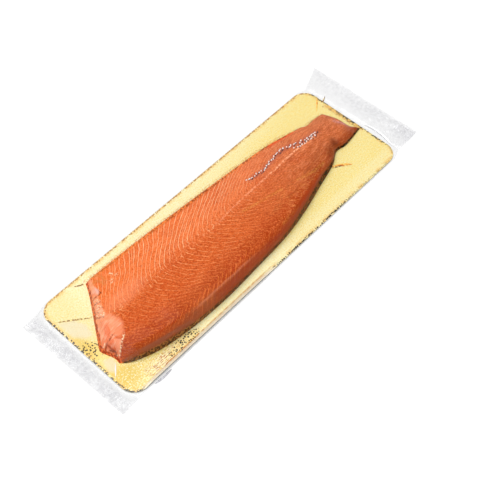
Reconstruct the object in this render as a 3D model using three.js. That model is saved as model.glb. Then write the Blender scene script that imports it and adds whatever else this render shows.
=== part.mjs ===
// Vacuum pack of cold-smoked salmon: one trimmed side of salmon on a gold board,
// sealed between two webs of clear film that reach past both ends of the board as flat flaps.
// Millimetres, +Z up. X runs from the cut shoulder end (-X) to the tail (+X),
// Y from the thick loin (-Y) to the thin belly (+Y). Outlines are drawn from the board's centre.

import * as THREE from 'three';
import { ParametricGeometry } from 'three/addons/geometries/ParametricGeometry.js';
import { mergeGeometries, mergeVertices } from 'three/addons/utils/BufferGeometryUtils.js';

// ---- driving dimensions -------------------------------------------------------------------

const GAP = 0.3;                      // air left between two pieces that touch
const WEB = 0.4;                      // thickness given to each web of film
const BOARD = { length: 520, width: 180, thickness: 1.2, corner: 22, cornerSteps: 6 };

const BOARD_BASE = WEB + GAP;
const BOARD_TOP = BOARD_BASE + BOARD.thickness;
const SALMON_BASE = BOARD_TOP + GAP;

// The salmon's footprint, as four edges that meet in its corners.
const LOIN_EDGE = [
  [-239, -42], [-225, -53], [-190, -66], [-140, -73.5], [-80, -75.5], [-20, -72.5],
  [40, -68.5], [90, -59.5], [140, -46], [178, -35.5], [200, -24], [220, -26], [256, -21],
];
const TAIL_EDGE = [[256, -21], [247, -10], [245, 12], [236, 35]];
const BELLY_EDGE = [
  [-190, 74.5], [-100, 72], [20, 65], [120, 57.5], [160, 51.5], [190, 42.5], [202, 36.5],
  [218, 37], [236, 35],
];
const CUT_EDGE = [[-239, -42], [-238, -28], [-241, -12], [-232, 6], [-200, 56], [-190, 74.5]];

// Height of the loin's crest along X, and the share of it that is left across the side.
const CREST_HEIGHT = [[-240, 25], [-185, 29], [-80, 30], [0, 28], [70, 25], [130, 20], [180, 15.5],
  [205, 12], [230, 11], [256, 9]];
const ACROSS = [[0, 0.86], [0.08, 0.96], [0.24, 1], [0.45, 0.83], [0.65, 0.62], [0.85, 0.42], [1, 0.28]];
const TAIL_STUB = { from: 165, to: 210, across: 0.9 };  // past the waist the tail is evenly thick

const LOIN_ROUND = 10;                // how far in from its edge each side reaches full height
const BELLY_ROUND = 5;
const TAIL_ROUND = 7;
const CUT_RUN = { loin: 27, belly: 9 };  // how far the shoulder's slanting cut face leans in

// The pouch: its side seams lie close to the board, and the flaps spread past the necks.
const POUCH_OUTLINE = [
  [-283, -95], [-242, -92.5], [248, -92.5], [260, -87], [308, -85],
  [304, 107], [263, 86], [250, 92.5], [-247, 92.5], [-259, 86.5], [-287, 86],
];

const STEPS_ALONG = 46;
const STEPS_ACROSS = 16;

// Each face of the top web: how far it stands off the salmon, the board's edge and the flaps.
const INNER_FACE = { lift: 0, off: 1.0, stretch: 0.4, wrap: 0.4, wrapFoot: 0.8 };
const OUTER_FACE = { lift: WEB, off: 1.6, stretch: 0.5, wrap: 0.9, wrapFoot: 1.5 };

// ---- helpers ------------------------------------------------------------------------------

const { lerp, smoothstep } = THREE.MathUtils;

function toPoints(pairs) {
  return pairs.map(([x, y]) => new THREE.Vector2(x, y));
}

// A smooth function of one value through the given [place, value] pairs.
function profile(pairs) {
  const cubic = new THREE.CubicInterpolant(pairs.map((p) => p[0]), pairs.map((p) => p[1]), 1);
  return (place) => cubic.evaluate(place)[0];
}

const crestHeight = profile(CREST_HEIGHT);
const across = profile(ACROSS);

// A closed counter-clockwise loop moved outwards by a distance, with mitred corners.
function growLoop(points, distance) {
  return points.map((point, i) => {
    const before = points[(i + points.length - 1) % points.length];
    const after = points[(i + 1) % points.length];
    const a = point.clone().sub(before).normalize();
    const b = after.clone().sub(point).normalize();
    const outwards = new THREE.Vector2(a.y + b.y, -a.x - b.x).normalize();
    const mitre = distance / outwards.dot(new THREE.Vector2(a.y, -a.x));
    return point.clone().addScaledVector(outwards, mitre);
  });
}

// Evenly rounded spacing from 0 to 1, finer towards both ends.
function eased(fraction) {
  return (1 - Math.cos(Math.PI * fraction)) / 2;
}

// A quarter round: 0 at an edge, 1 from the radius inwards.
function rounded(distance, radius) {
  const rest = 1 - Math.min(distance / radius, 1);
  return Math.sqrt(1 - rest * rest);
}

// The cut face's slope, easing into the top.
function cutFace(distance, v) {
  const run = lerp(CUT_RUN.loin, CUT_RUN.belly, v);
  return 1 - (1 - Math.min(distance / run, 1)) ** 1.5;
}

function bare(geometry) {
  geometry.deleteAttribute('normal');
  geometry.deleteAttribute('uv');
  return geometry;
}

function flipped(geometry) {
  const index = geometry.getIndex();
  for (let i = 0; i < index.count; i += 3) {
    const first = index.getX(i);
    index.setX(i, index.getX(i + 2));
    index.setX(i + 2, first);
  }
  return geometry;
}

// A flat face at a height, inside one loop and outside another if there is one.
function flatFace(loop, height, hole = null) {
  const shape = new THREE.Shape(loop);
  if (hole) shape.holes.push(new THREE.Path(hole));
  return bare(new THREE.ShapeGeometry(shape)).translate(0, 0, height);
}

// A wall between two loops of equally many points, facing outwards.
function wall(lowLoop, lowHeight, highLoop, highHeight) {
  const place = (around, up, target) => {
    const i = Math.round(around * lowLoop.length) % lowLoop.length;
    const point = up > 0.5 ? highLoop[i] : lowLoop[i];
    target.set(point.x, point.y, up > 0.5 ? highHeight : lowHeight);
  };
  return bare(new ParametricGeometry(place, lowLoop.length, 1));
}

function solid(pieces) {
  const geometry = mergeVertices(mergeGeometries(pieces), 1e-3);
  geometry.computeVertexNormals();
  return geometry;
}

function boardLoop(grow) {
  const x = BOARD.length / 2 - BOARD.corner;
  const y = BOARD.width / 2 - BOARD.corner;
  const radius = BOARD.corner + grow;
  const points = [];
  [[x, -y, -90], [x, y, 0], [-x, y, 90], [-x, -y, 180]].forEach(([cx, cy, start]) => {
    for (let step = 0; step <= BOARD.cornerSteps; step += 1) {
      const angle = THREE.MathUtils.degToRad(start + 90 * step / BOARD.cornerSteps);
      points.push(new THREE.Vector2(cx + radius * Math.cos(angle), cy + radius * Math.sin(angle)));
    }
  });
  return points;
}

// ---- the salmon's upper surface, also as the film drawn down over it ------------------------

// A surface over the footprint grown by off; it starts at a base height and is raised by lift.
function drapedSurface(off, base, lift) {
  const edges = [LOIN_EDGE, TAIL_EDGE, [...BELLY_EDGE].reverse(), [...CUT_EDGE].reverse()];
  const grown = growLoop(toPoints(edges.flatMap((edge) => edge.slice(0, -1))), off);
  let start = 0;
  const curves = edges.map((edge) => {
    const points = edge.map((_, i) => grown[(start + i) % grown.length]);
    start += edge.length - 1;
    return points;
  });
  const [loin, tail, belly, cut] = [
    curves[0], curves[1], curves[2].reverse(), curves[3].reverse(),
  ].map((points) => new THREE.SplineCurve(points));
  const length = loin.getLength();

  function footprint(u, v) {
    const sides = loin.getPointAt(u).lerp(belly.getPointAt(u), v);
    const ends = cut.getPointAt(v).lerp(tail.getPointAt(v), u);
    const corners = cut.getPointAt(0).lerp(tail.getPointAt(0), u)
      .lerp(cut.getPointAt(1).lerp(tail.getPointAt(1), u), v);
    return sides.add(ends).sub(corners);
  }

  return (along, over, target) => {
    const u = eased(along);
    const v = eased(over);
    const { x, y } = footprint(u, v);
    const width = loin.getPointAt(u).distanceTo(belly.getPointAt(u));
    const share = lerp(across(v), TAIL_STUB.across, smoothstep(x, TAIL_STUB.from, TAIL_STUB.to));
    const shoulders = rounded(v * width, LOIN_ROUND) * rounded((1 - v) * width, BELLY_ROUND)
      * rounded((1 - u) * length, TAIL_ROUND) * cutFace(u * length, v);
    target.set(x, y, base + (crestHeight(x) * share + lift) * shoulders);
  };
}

function rimOf(surface) {
  const corner = new THREE.Vector3();
  const rim = [];
  const add = (along, over) => {
    surface(along, over, corner);
    rim.push(new THREE.Vector2(corner.x, corner.y));
  };
  for (let i = 0; i < STEPS_ALONG; i += 1) add(i / STEPS_ALONG, 0);
  for (let i = 0; i < STEPS_ACROSS; i += 1) add(1, i / STEPS_ACROSS);
  for (let i = STEPS_ALONG; i > 0; i -= 1) add(i / STEPS_ALONG, 1);
  for (let i = STEPS_ACROSS; i > 0; i -= 1) add(0, i / STEPS_ACROSS);
  return rim;
}

// ---- the pieces -----------------------------------------------------------------------------

function salmonGeometry() {
  const surface = drapedSurface(0, SALMON_BASE, 0);
  return solid([
    bare(new ParametricGeometry(surface, STEPS_ALONG, STEPS_ACROSS)),
    flipped(flatFace(rimOf(surface), SALMON_BASE)),
  ]);
}

function extruded(loop, depth, base) {
  const settings = { depth, bevelEnabled: false };
  return solid([bare(new THREE.ExtrudeGeometry(new THREE.Shape(loop), settings)).translate(0, 0, base)]);
}

// One face of the top web: over the salmon, across the board, down its edge and along the flaps.
function webFace({ lift, off, stretch, wrap, wrapFoot }) {
  const boardLevel = SALMON_BASE + lift;
  const flapLevel = WEB + GAP + lift;
  const surface = drapedSurface(off, boardLevel, stretch);
  return [
    bare(new ParametricGeometry(surface, STEPS_ALONG, STEPS_ACROSS)),
    flatFace(boardLoop(wrap), boardLevel, rimOf(surface)),
    wall(boardLoop(wrapFoot), flapLevel, boardLoop(wrap), boardLevel),
    flatFace(toPoints(POUCH_OUTLINE), flapLevel, boardLoop(wrapFoot)),
  ];
}

function topWebGeometry() {
  const outline = toPoints(POUCH_OUTLINE);
  return solid([
    ...webFace(OUTER_FACE),
    ...webFace(INNER_FACE).map(flipped),
    wall(outline, WEB + GAP, outline, WEB + GAP + WEB),
  ]);
}

function film() {
  return new THREE.MeshStandardMaterial({
    color: 0xe8ecef, roughness: 0.12, metalness: 0, transparent: true, opacity: 0.35,
  });
}

const goldFoil = new THREE.MeshStandardMaterial({ color: 0xe9c65c, roughness: 0.4, metalness: 0.7 });
const smokedFlesh = new THREE.MeshStandardMaterial({ color: 0xd9693c, roughness: 0.35, metalness: 0 });

const pieces = {
  film_bottom: [extruded(toPoints(POUCH_OUTLINE), WEB, 0), film()],
  gold_board: [extruded(boardLoop(0), BOARD.thickness, BOARD_BASE), goldFoil],
  salmon_side: [salmonGeometry(), smokedFlesh],
  film_top: [topWebGeometry(), film()],
};

const pack = new THREE.Group();
const middle = new THREE.Box2().setFromPoints(toPoints(POUCH_OUTLINE)).getCenter(new THREE.Vector2());
pack.position.set(-middle.x, -middle.y, 0);
Object.entries(pieces).forEach(([name, [geometry, material]]) => {
  const mesh = new THREE.Mesh(geometry, material);
  mesh.name = name;
  pack.add(mesh);
});

export default pack;
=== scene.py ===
"""Looks of a vacuum pack of cold-smoked salmon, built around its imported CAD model.

Shapes are worked out in millimetres from the board's centre, X towards the tail and Y towards
the belly, with heights from the table. place() turns them into the frame's metres.
"""

import math

import bpy
import numpy as np
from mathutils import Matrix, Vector
from mathutils.bvhtree import BVHTree


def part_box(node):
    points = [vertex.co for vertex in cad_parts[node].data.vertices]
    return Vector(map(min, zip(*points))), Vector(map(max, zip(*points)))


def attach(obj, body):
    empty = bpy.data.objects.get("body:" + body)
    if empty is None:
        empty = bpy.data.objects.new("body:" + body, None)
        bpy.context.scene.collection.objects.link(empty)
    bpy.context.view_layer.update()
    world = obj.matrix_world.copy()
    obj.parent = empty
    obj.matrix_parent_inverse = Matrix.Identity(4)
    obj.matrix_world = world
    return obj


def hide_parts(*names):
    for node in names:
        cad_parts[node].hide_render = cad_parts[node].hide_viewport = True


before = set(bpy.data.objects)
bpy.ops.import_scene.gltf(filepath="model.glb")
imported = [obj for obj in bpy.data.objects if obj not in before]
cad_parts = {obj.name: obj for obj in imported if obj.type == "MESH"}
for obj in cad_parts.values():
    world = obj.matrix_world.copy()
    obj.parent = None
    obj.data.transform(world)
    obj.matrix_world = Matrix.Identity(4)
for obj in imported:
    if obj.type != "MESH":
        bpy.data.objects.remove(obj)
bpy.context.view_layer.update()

# ---- driving dimensions ----

MM = 0.001
BOARD_LOW, BOARD_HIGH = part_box("gold_board")
MIDDLE = np.array([(BOARD_LOW[i] + BOARD_HIGH[i]) / 2 / MM for i in (0, 1)])
BOARD_BASE = BOARD_LOW.z / MM
BOARD_TOP = BOARD_HIGH.z / MM
BOARD_HALF = np.array([(BOARD_HIGH[i] - BOARD_LOW[i]) / 2 / MM for i in (0, 1)])
BOARD_CORNER = 22
SALMON_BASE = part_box("salmon_side")[0].z / MM

# The salmon's footprint, as four edges that meet in its corners.
LOIN_EDGE = [
    (-239, -42), (-225, -53), (-190, -66), (-140, -73.5), (-80, -75.5), (-20, -72.5),
    (40, -68.5), (90, -59.5), (140, -46), (178, -35.5), (200, -24), (220, -26), (256, -21),
]
TAIL_EDGE = [(256, -21), (247, -10), (245, 12), (236, 35)]
BELLY_EDGE = [
    (-190, 74.5), (-100, 72), (20, 65), (120, 57.5), (160, 51.5), (190, 42.5), (202, 36.5),
    (218, 37), (236, 35),
]
CUT_EDGE = [
    (-239, -42), (-238.5, -32), (-242, -21), (-243.5, -11), (-233, 6), (-200, 56), (-190, 74.5),
]

# Height of the loin's crest along X, and the share of it that is left across the side.
CREST_HEIGHT = [
    (-240, 25), (-185, 29), (-80, 30), (0, 28), (70, 25), (130, 20), (180, 15.5), (205, 12),
    (230, 11), (256, 9),
]
ACROSS = [(0, 0.86), (0.08, 0.96), (0.24, 1), (0.45, 0.83), (0.65, 0.62), (0.85, 0.42), (1, 0.28)]
STUB_FROM, STUB_TO, STUB_ACROSS = 165, 210, 0.9  # past the waist the tail is evenly thick
LOIN_ROUND, BELLY_ROUND, TAIL_ROUND = 10, 5, 7
CUT_RUN_LOIN, CUT_RUN_BELLY = 27, 9              # how far back the cut face slants
SALMON_LENGTH, SALMON_WIDTH = 500, 150           # in round figures, for the paint
# How high the fat lines stand, how deep the row of bones and the waist's valley lie, and how
# far the whole upper side is lowered to stay inside the CAD's.
LINE_RELIEF, BONE_DENT, VALLEY_DEPTH, FLESH_SUNK = 0.16, 0.3, 1.6, 0.45

# The pouch's outline by its corners: the ends reach past the board as flaps.
POUCH_HEAD = [(-283, -95), (-287, 86)]
POUCH_TAIL = [(308, -85), (304, 107)]
POUCH_NEAR = [(-283, -95), (-242, -92.5), (248, -92.5), (260, -87), (308, -85)]
POUCH_FAR = [(-287, 86), (-259, 86.5), (-247, 92.5), (250, 92.5), (263, 86), (304, 107)]
POUCH_ENDS = (-285, 306)        # the middles of its ends along X

FILM = 0.12                     # thickness of one web of film
FILM_ON_SALMON = 0.45           # how far the web's middle stands off the flesh
FILM_OFF_FOOT = 1.0             # and how far outside the flesh's foot it lands
FILM_ON_BOARD = 0.32            # its middle above the board
WEB_LOW = 0.14                  # height of the lower web's middle on the table
WEB_HIGH = 0.42                 # and of the upper web's on the flaps
FILM_CLEARNESS = (0.993, 0.993, 0.993, 1)
# How milky the flaps, their seals and their gathered corner are.
HAZE_OF_END, HAZE_OF_SEAL, HAZE_OF_GATHERS = 0.015, 0.075, 0.03

# The board's turned-up edge: where it folds, how high it rises and where it ends.
LIP_FOLD, LIP_HEIGHT, LIP_END = -84.5, 2.4, 15
# The height of its waves, the wear of its rim and how far its underside is raised.
BOARD_WAVE, EDGE_WEAR, BOARD_CLEAR = 0.06, 0.08, 0.07

# The fat lines between the muscle blocks, laid out as seen from the belly's upper side, where a
# point at a height leans by LEAN of it along X and Y. Each row: a Y, and along X how far a line
# moves towards the tail for each step over Y.
LEAN = np.array([0.486, 0.447])
LINE_SPACING = [(-240, 7.4), (-150, 8.0), (-60, 8.8), (20, 9.0), (100, 8.2), (180, 7.0), (260, 6.0)]
LINE_SLANTS = [
    (-66, [(-240, 1.6), (-80, 1.1), (100, 1.2), (260, 1.2)]),
    (-49, [(-240, 2.2), (-130, 1.7), (-70, 1.2), (20, 1.45), (260, 1.3)]),
    (-46, [(-240, 1.9), (-130, 1.5), (-70, 1.2), (20, 1.4), (260, 1.3)]),
    (-43, [(-240, -1.3), (-100, -1.4), (-20, -0.9), (60, -1.1), (260, -1.4)]),
    (-34, [(-240, -1.4), (-130, -1.95), (-40, -1.5), (20, -1.6), (260, -1.8)]),
    (-22, [(-240, -0.9), (-130, -1.0), (-40, -1.5), (20, -1.1), (80, -1.9), (260, -2.0)]),
    (-8, [(-240, -0.65), (-60, -0.6), (-10, -0.9), (40, -1.4), (100, -2.0), (260, -2.1)]),
    (6, [(-240, -0.4), (-60, -0.6), (0, -0.9), (60, -1.2), (100, -1.5), (260, -2.0)]),
    (16, [(-240, 0.5), (-60, 0.4), (0, 0.3), (60, -0.2), (260, -0.5)]),
    (26, [(-240, 0.85), (-55, 0.9), (-20, 1.15), (60, 1.2), (120, 2.2), (260, 3.0)]),
    (37, [(-240, 0.9), (-130, 1.1), (-55, 1.5), (20, 1.75), (90, 2.0), (260, 3.2)]),
    (48, [(-240, 0.95), (-80, 1.2), (-30, 1.75), (45, 2.25), (110, 2.7), (260, 3.4)]),
    (60, [(-240, 0.8), (-80, 0.88), (-30, 1.45), (45, 1.7), (100, 2.1), (260, 2.6)]),
    (76, [(-240, 0.7), (-80, 0.8), (-30, 1.3), (45, 1.5), (260, 2.0)]),
]
LINES_FROM = 10                 # the Y at which the lines are LINE_SPACING apart

MIDLINE = [
    (-240, -4), (-150, -2), (-60, 2), (2, 6.5), (28, 9), (52, 10.5), (82, 10.8), (105, 12),
    (128, 13.8), (151, 15), (170, 14), (186, 13.2), (205, 13),
]

# The pin bones' cut ends: rows in plan, the pitch along them, and one end's length and width.
PIN_BONE_ROWS = [
    [(68, 27), (86, 24.5), (101, 24.5), (116, 27.5), (141, 31), (154, 28.5), (163, 24), (175, 20),
     (190, 18), (204, 14)],
    [(157, 20), (168, 15.5), (180, 15), (190, 12.5), (198, 12)],
]
PIN_BONE_PITCH = 4.2
PIN_BONE_SIZE = np.array([3.8, 2.6])
PIN_BONE_TURN = math.radians(20)
PIN_BONE_SEED = 12
BONE_ROOT = 0.05                # how deep the foot of an end goes into the flesh
# An end's cross-sections: shares of its half length, and of its width and height there.
BONE_STEPS, BONE_TAPER = np.array([-1, -0.5, 0.5, 1]), np.array([0.3, 1, 1, 0.3])
# Name, tone, shift along the row in pitches, shift aside and height of the two kinds.
PIN_BONE_PIECES = [
    ("pin_bone_ends", (255, 236, 228), 0.0, 0.7, 0.3),
    # The pits are dark slivers of painted shade.
    ("pin_bone_pit_shadows", (56, 20, 28), 0.5, -0.7, 0.12),
]

# A shallow valley across the waist, painted darker as shade, a pale patch of painted film glare, and
# lines of other tones.
WAIST_VALLEY = [(198, -32), (202, -22), (206, -12), (208, -3)]
FILM_GLARE_PATCH = [
    (-191, 72), (-194.4, 66.6), (-197.3, 54.2), (-194.6, 42.6), (-189.3, 46.8), (-189.4, 60.4),
]
RED_LINES = [
    [(138, 51), (152, 49), (166, 47), (178, 44)], [(108, -50), (96, -53.4), (84, -56.2)],
]
# The first golden line is a painted highlight; the others are golden streaks.
GOLDEN_LINES = [
    [(112, -26), (124.5, -29.4), (143, -31.8), (161, -31.1)],
    [(78, -57.4), (65.3, -59.6), (56, -61), (44, -62)], [(22, -8), (60, -16), (84, -22)],
]
# Greyish pink sheen on the tail's end.
SHEEN_LINES = [[(235, 11), (239, 3), (242.5, -6), (244, -13)]]
# At the loin the cut face's pink ends along a line, given by a point and its direction.
PINK_END, PINK_END_AHEAD = (-239.5, -41.5), (25.1 / 28.4, 13.2 / 28.4)
# The cut end's pink spreads on to the upper side here.
PINK_SHOULDER = [
    (-216, 24), (-227, -12), (-222, -30), (-212, -25), (-205, -15), (-202.7, -5), (-205.6, 5),
]
# Where the tight film is creased over the cut end: lines of painted glint, dark lines of painted shade in
# its creases, and soft arcs of painted reflection.
GLINT_LINES = [
    [(-214.4, -28.2), (-220.3, -31.9), (-224.9, -34.4), (-228.7, -36.1), (-232.6, -37.2),
     (-235.5, -38.4)], [(-237, -14.5), (-240, -15.5)], [(-235.5, -35), (-238, -33.5)],
    [(-215.9, 30.6), (-215, 20.5), (-211.8, 11.6)],
    [(-200.5, 38.6), (-204.2, 42)], [(-200.2, 34), (-204.6, 37.4)], [(-203, 28.5), (-208, 33)],
    [(-204.6, 25), (-209.4, 28.6)], [(-207.5, 18.5), (-212, 24)], [(-209.6, 15), (-214, 17.5)],
    [(-162, 58), (-159.6, 54)], [(-158.6, 50), (-155, 48)], [(-171.5, 44.6), (-168.4, 43.6)],
    [(-169, 49.4), (-166, 47)],
    [(-198, 71), (-199, 60), (-201, 53)],
]
CREASE_LINES = [
    [(-225.3, -18.2), (-231.1, -19), (-236.2, -17.8), (-240.1, -19.8)],
    [(-218, 29.6), (-217.2, 19.5), (-213.8, 10.6)], [(-213.6, 31.4), (-212.6, 22.5)],
    [(-197.5, 42.5), (-203.2, 45.5)], [(-201, 33), (-206.4, 37.4)], [(-205, 23.4), (-210, 29)],
    [(-194.8, 42), (-190.5, 42), (-189, 47)], [(-237.5, -25), (-234, -31), (-236.5, -36)],
    # A dark line along the tail's far edge.
    [(196, 38.5), (202, 34.5), (210, 35), (219, 35.5), (234, 33.5)],
]
# A fold's shaded underside, low on the cut end.
WEDGE_LINES = [
    [(-236, -19), (-235.6, -24), (-234.6, -30), (-235, -35)], [(-236, -18.5), (-238.5, -19), (-242, -18)],
]
ARC_REFLECTION_LINES = [
    [(-188.4, 70.1), (-182, 72), (-175.8, 70.1), (-172.1, 62.3), (-173.4, 53)],
    [(-188.3, 61.7), (-180.6, 62.6), (-177.7, 56), (-178.6, 49.1)],
]
# Where the film stands off the board and shows a pale glare.
GLARE_PATCHES = [
    [(-254, 56), (-254, 28), (-243, 14), (-234, 12), (-230, 30), (-238, 46)],
    [(-257, -41), (-250, -47), (-241, -40), (-239, -29), (-251, -24)],
]

# The lit and the shaded side of a pleat, and what shows between its folds.
PLEAT_TONES = {
    "amber": ((246, 166, 50), (206, 116, 22), (248, 214, 112)),
    "brown": ((176, 116, 40), (84, 44, 8), (248, 228, 150)),
    # The clear pleats are near white: painted highlights along the film's folds.
    "clear": ((255, 255, 255), (250, 250, 252), (244, 244, 248)),
    "grey": ((160, 160, 166), (182, 180, 186), (204, 204, 210)),
}
# Pleats of the top web: a line in plan, with its width, its height and its tones.
PLEATS = [
    ([(174, -37.5), (181, -40.5), (187, -45), (198, -55)], 4.2, 0.5, "amber"),
    ([(175.5, -40), (182, -43), (189, -47)], 2.0, 0.4, "brown"),
    ([(238, 46), (248.5, 54), (261, 65)], 2.2, 0.4, "amber"),
    ([(250, 44), (259.7, 52), (270, 57)], 1.8, 0.4, "brown"),
    ([(-217, 32), (-222, 34), (-239, 47.5), (-254, 59)], 1.8, 0.4, "brown"),
    ([(-192, 76.5), (-196.6, 78), (-203, 82.5)], 1.8, 0.3, "brown"),
    ([(-243, -39), (-249, -45.5), (-255, -52)], 1.6, 0.3, "clear"),
    ([(267, -20), (270, -34), (269.5, -50), (264, -77)], 3.0, 0.4, "clear"),
    ([(-228, -93.5), (-216, -94.5), (-200, -94)], 3.2, 0.4, "grey"),
]
PLEAT_STEP = 0.8                # how finely a pleat follows its line
PLEAT_ROOT = 0.02               # and how deep its foot goes into the web

# How many points or cells each grid has.
FLESH_ALONG, FLESH_ACROSS = 430, 176
BOARD_ALONG, BOARD_ACROSS = 260, 110
HEAD_CELLS, SIDE_CELLS, TAIL_CELLS = 32, 270, 36
BESIDE_CELLS, OVER_CELLS = 24, 74
WEB_ALONG, WEB_ACROSS = 240, 84
SHARP_ANGLE = math.radians(50)  # edges that turn by more stay sharp

# The view, the table and the lights, in metres.
CAMERA_TARGET = Vector((-0.0170, -0.0527, 0.0019))
CAMERA_AZIMUTH, CAMERA_ELEVATION = math.radians(-47.36), math.radians(56.53)
CAMERA_DISTANCE = 1.3016
CAMERA_LENS, CAMERA_SENSOR = 70.56, 36.0
TABLE_HALF = 4.0
WORLD_LIGHT = 0.56
KEY_LIGHT, KEY_SPREAD = 2.0, math.radians(50)
KEY_FROM = Vector((-0.25, 0.25, 1.3))


# ---- curves and heights ----


def place(points):
    """Points in millimetres from the board's centre, as points of the frame in metres."""
    placed = np.array(points, float)
    placed[..., :2] += MIDDLE
    return placed * MM


def srgb(red, green, blue):
    """A display colour of 0 to 255 a channel, as the linear colour that shaders take."""
    shares = [channel / 255 for channel in (red, green, blue)]
    linear = [s / 12.92 if s <= 0.04045 else ((s + 0.055) / 1.055) ** 2.4 for s in shares]
    return (*linear, 1.0)


def smooth(value, start, end):
    """0 before start and 1 after end, easing in between."""
    share = np.clip((np.asarray(value, float) - start) / (end - start), 0, 1)
    return share * share * (3 - 2 * share)


def fade(value, start, end):
    """1 before start and 0 after end."""
    return 1 - smooth(value, start, end)


def window(value, start, full, fading, end):
    """1 from full to fading, 0 before start and after end."""
    return smooth(value, start, full) * fade(value, fading, end)


def hill(value, middle, width):
    """1 at the middle, falling away over the width on both sides."""
    return np.exp(-((value - middle) / width) ** 2)


def hermite(start, end, leaving, arriving, t):
    """The cubic from start to end that leaves and arrives with the given slopes."""
    return (start + leaving * t + (3 * (end - start) - 2 * leaving - arriving) * t ** 2
            + (2 * (start - end) + leaving + arriving) * t ** 3)


def profile(pairs):
    """A smooth function of one value through the given (place, value) pairs."""
    places, values = np.array(pairs, float).T
    steps = np.diff(values) / np.diff(places)
    slopes = np.empty_like(values)
    slopes[1:-1] = (values[2:] - values[:-2]) / (places[2:] - places[:-2])
    slopes[0] = 1.5 * steps[0] - 0.5 * slopes[1]
    slopes[-1] = 1.5 * steps[-1] - 0.5 * slopes[-2]

    def evaluate(place_at):
        at = np.clip(place_at, places[0], places[-1])
        i = np.clip(np.searchsorted(places, at, side="right") - 1, 0, len(places) - 2)
        width = places[i + 1] - places[i]
        return hermite(values[i], values[i + 1], width * slopes[i], width * slopes[i + 1],
                       (at - places[i]) / width)

    return evaluate


def spline(points, detail=40):
    """A Catmull-Rom curve through points, as a function of the share of its length."""
    knots = np.array(points, float)
    before = np.vstack([knots[:1], knots[:-2]])
    after = np.vstack([knots[2:], knots[-1:]])
    t = np.linspace(0, 1, detail, endpoint=False)[:, None]
    drawn = [hermite(p1, p2, (p2 - p0) / 2, (p3 - p1) / 2, t)
             for p0, p1, p2, p3 in zip(before, knots[:-1], knots[1:], after)]
    return by_length(np.vstack([*drawn, knots[-1:]]))


def by_length(points):
    """A polyline as a function of the share of its length."""
    line = np.array(points, float)
    run = np.concatenate([[0], np.cumsum(np.linalg.norm(np.diff(line, axis=0), axis=1))])

    def at(share):
        reach = np.asarray(share, float) * run[-1]
        return np.stack([np.interp(reach, run, line[:, i]) for i in range(line.shape[1])], -1)

    at.length = run[-1]
    return at


def grow_loop(points, distance):
    """A closed counter-clockwise loop moved outwards, with mitred corners."""
    loop = np.array(points, float)
    a = loop - np.roll(loop, 1, 0)
    b = np.roll(loop, -1, 0) - loop
    a /= np.linalg.norm(a, axis=1)[:, None]
    b /= np.linalg.norm(b, axis=1)[:, None]
    outwards = np.stack([a[:, 1] + b[:, 1], -a[:, 0] - b[:, 0]], 1)
    outwards /= np.linalg.norm(outwards, axis=1)[:, None]
    return loop + outwards * (distance / (outwards[:, 0] * a[:, 1] - outwards[:, 1] * a[:, 0]))[:, None]


def eased(count):
    """Shares from 0 to 1 with finer steps towards both ends."""
    return (1 - np.cos(np.linspace(0, math.pi, count))) / 2


def rounded(distance, radius):
    """A quarter round: 0 at an edge, 1 from the radius inwards."""
    return np.sqrt(1 - (1 - np.minimum(distance / radius, 1)) ** 2)


def ripples(x, y, wavelength, seed, waves=11):
    """Smooth random unevenness between about -1 and 1."""
    random = np.random.default_rng(seed)
    total = np.zeros_like(x)
    for _ in range(waves):
        angle, phase = random.uniform(0, 2 * math.pi, 2)
        turn = 2 * math.pi / (wavelength * random.uniform(0.7, 1.5))
        total += np.cos(turn * (x * math.cos(angle) + y * math.sin(angle)) + phase)
    return total / math.sqrt(2 * waves)


def beside(points, x, y):
    """How far each place lies to the left of a line, below 0 on its right."""
    nearest = np.full(x.shape, np.inf)
    side = np.zeros(x.shape)
    knots = np.array(points, float)
    for start, end in zip(knots[:-1], knots[1:]):
        length = np.linalg.norm(end - start)
        ahead = (end - start) / length
        along = np.clip((x - start[0]) * ahead[0] + (y - start[1]) * ahead[1], 0, length)
        dx, dy = x - start[0] - ahead[0] * along, y - start[1] - ahead[1] * along
        distance = np.hypot(dx, dy)
        closer = distance < nearest
        nearest = np.where(closer, distance, nearest)
        side = np.where(closer, np.sign(ahead[0] * dy - ahead[1] * dx) * distance, side)
    return side


def within(corners, x, y, soft):
    """1 inside a convex counter-clockwise outline, 0 outside, with a soft border."""
    loop = np.array(corners, float)
    inside = np.full(x.shape, np.inf)
    for a, b in zip(loop, np.roll(loop, -1, 0)):
        ahead = (b - a) / np.linalg.norm(b - a)
        inside = np.minimum(inside, ahead[0] * (y - a[1]) - ahead[1] * (x - a[0]))
    return smooth(inside, -soft, soft)


def near_spot(x, y, centre, reach):
    """1 at a spot, falling to 0 at its reach along X and Y."""
    return fade(np.hypot((x - centre[0]) / reach[0], (y - centre[1]) / reach[1]), 0.3, 1)


def near_lines(lines, x, y, width):
    """1 on any of the lines, falling away over their width."""
    closest = np.min([np.abs(beside(line, x, y)) for line in lines], axis=0)
    return hill(closest, 0, width)


crest_height = profile(CREST_HEIGHT)
across_share = profile(ACROSS)


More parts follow.
